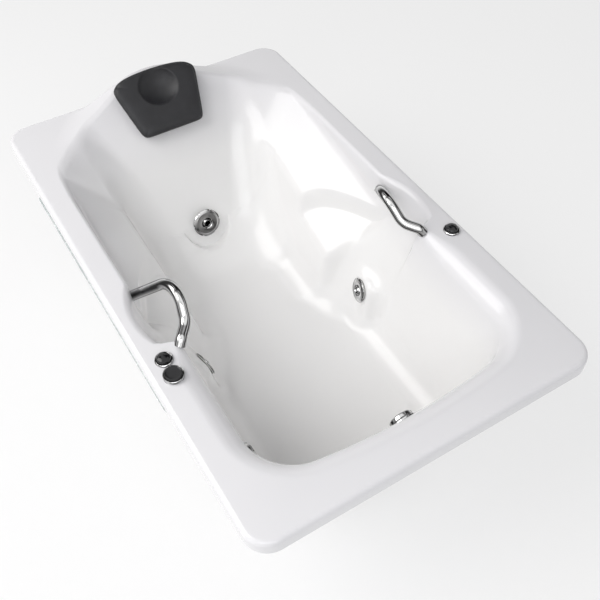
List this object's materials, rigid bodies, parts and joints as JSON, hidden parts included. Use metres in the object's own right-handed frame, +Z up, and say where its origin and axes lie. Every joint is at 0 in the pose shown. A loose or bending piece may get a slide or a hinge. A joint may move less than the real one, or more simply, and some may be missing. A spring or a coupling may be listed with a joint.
{
  "type": "jetted bathtub",
  "caption": "White rectangular drop-in jetted bathtub with moulded arm rests, head pillow, chrome grab bars, jets, deck controls and the pump and pipework beneath.",
  "frame": {"origin": "on the floor plane the bath stands on, under the centre of its rim", "axes": "+Z up, +Y along the bath towards the head end with the pillow, +X to the right of a person who stands at the foot end and looks to the head end"},
  "size_m": [0.914, 1.524, 0.6196],
  "materials": {
    "acrylic": "polished white sanitary acrylic, about 0.1 roughness",
    "plywood": "raw plywood board",
    "resin_bed": "rough cast resin",
    "dark_plastic": "moulded black plastic, satin",
    "pillow_skin": "satin charcoal self-skinned foam with a fine grain",
    "chrome": "bright plated",
    "steel": "zinc plated steel",
    "dark_cap": "gloss black plastic",
    "seal_rubber": "matt black rubber",
    "white_plastic": "white pipe plastic, semi-gloss",
    "clear_tube": "cloudy flexible vinyl",
    "motor_iron": "laminated steel",
    "motor_paint": "semi-gloss dark paint"
  },
  "bodies": {
    "bath": {"air_control_left": "chrome", "air_control_right": "chrome", "air_lines": "clear_tube", "base_board": "plywood", "base_feet": "dark_plastic", "button_bellows": "seal_rubber", "button_tube": "clear_tube", "deck_nuts": "white_plastic", "discharge_pipe": "white_plastic", "drain_flange": "chrome", "drain_shoe": "dark_plastic", "fitting_gaskets": "seal_rubber", "floor_bedding": "resin_bed", "grab_bar_left": "chrome", "grab_bar_nuts": "steel", "grab_bar_right": "chrome", "head_pillow": "pillow_skin", "jet_fittings": "white_plastic", "jet_housing_back": "white_plastic", "jet_housing_left": "white_plastic", "jet_housing_right": "white_plastic", "motor_endbell": "motor_paint", "motor_shell": "motor_paint", "motor_stator": "motor_iron", "overflow_elbow": "dark_plastic", "overflow_pipe": "white_plastic", "overflow_plate": "chrome", "pillow_pegs": "dark_plastic", "power_button_base": "chrome", "pressure_manifold": "white_plastic", "pressure_pipes": "white_plastic", "pump_backplate": "dark_plastic", "pump_bolts": "steel", "pump_cradle": "dark_plastic", "pump_volute": "dark_plastic", "shaft_bearings": "steel", "stopper_linkage": "steel", "suction_cover": "chrome", "suction_fitting": "white_plastic", "suction_housing": "white_plastic", "suction_pipe": "white_plastic", "terminal_box": "motor_paint", "tub_shell": "acrylic", "waste_elbow": "dark_plastic", "waste_pipe": "white_plastic"},
    "power_button_body": {"power_button": "dark_cap"},
    "air_knob_left_body": {"air_knob_left": "dark_cap"},
    "air_knob_right_body": {"air_knob_right": "dark_cap"},
    "overflow_knob_body": {"overflow_knob": "chrome"},
    "drain_stopper_body": {"drain_stopper": "chrome"},
    "jet_ring_right_body": {"jet_ring_right": "chrome"},
    "jet_ring_left_body": {"jet_ring_left": "chrome"},
    "jet_ring_back_body": {"jet_ring_back": "chrome"},
    "jet_nozzle_right_body": {"jet_nozzle_right": "dark_cap"},
    "jet_nozzle_left_body": {"jet_nozzle_left": "dark_cap"},
    "jet_nozzle_back_body": {"jet_nozzle_back": "dark_cap"},
    "rotor": {"impeller": "dark_plastic", "motor_shaft": "steel", "motor_rotor": "motor_iron", "motor_fan": "dark_plastic"}
  },
  "joints": [
    {"name": "power_push", "type": "slide", "parent": "bath", "child": "power_button_body", "axis": [0, 0, -1], "range_m": [0, 0.004], "stiffness_N_per_m": 400, "springref_m": -0.001, "deforming": ["button_bellows"]},
    {"name": "air_turn_left", "type": "hinge", "parent": "bath", "child": "air_knob_left_body", "pos_m": [-0.408, -0.246, 0.508], "axis": [0, 0, 1], "range_deg": [0, 180]},
    {"name": "air_turn_right", "type": "hinge", "parent": "bath", "child": "air_knob_right_body", "pos_m": [0.42, -0.26, 0.508], "axis": [0, 0, 1], "range_deg": [0, 180]},
    {"name": "overflow_turn", "type": "hinge", "parent": "bath", "child": "overflow_knob_body", "pos_m": [0, -0.6375, 0.426], "axis": [0, 0.9889, 0.1483], "range_deg": [0, 90]},
    {"name": "stopper_lift", "type": "slide", "parent": "bath", "child": "drain_stopper_body", "axis": [0, 0, 1], "range_m": [0, 0.01]},
    {"name": "pump_spin", "type": "hinge", "parent": "bath", "child": "rotor", "pos_m": [0, 0.6, 0.118], "axis": [1, 0, 0], "continuous": true},
    {"name": "jet_flow_right", "type": "hinge", "parent": "bath", "child": "jet_ring_right_body", "pos_m": [0.26004, -0.0948, 0.2012], "axis": [-0.9588, 0.2008, 0.2008], "range_deg": [0, 120]},
    {"name": "jet_aim_right", "type": "hinge", "parent": "jet_ring_right_body", "child": "jet_nozzle_right_body", "pos_m": [0.26004, -0.0948, 0.2012], "axis": [-0.1965, -0.9796, 0.0412], "range_deg": [-10, 10]},
    {"name": "jet_flow_left", "type": "hinge", "parent": "bath", "child": "jet_ring_left_body", "pos_m": [-0.26004, -0.0948, 0.2012], "axis": [0.9588, 0.2008, 0.2008], "range_deg": [0, 120]},
    {"name": "jet_aim_left", "type": "hinge", "parent": "jet_ring_left_body", "child": "jet_nozzle_left_body", "pos_m": [-0.26004, -0.0948, 0.2012], "axis": [-0.1965, 0.9796, -0.0412], "range_deg": [-10, 10]},
    {"name": "jet_flow_back", "type": "hinge", "parent": "bath", "child": "jet_ring_back_body", "pos_m": [0, 0.39906, 0.20534], "axis": [0, -0.9397, 0.342], "range_deg": [0, 120]},
    {"name": "jet_aim_back", "type": "hinge", "parent": "jet_ring_back_body", "child": "jet_nozzle_back_body", "pos_m": [0, 0.39906, 0.20534], "axis": [1, 0, 0], "range_deg": [-10, 10]}
  ],
  "couplings": [
    {"joint": "stopper_lift", "follows": "overflow_turn", "m_per_rad": 0.006366}
  ]
}
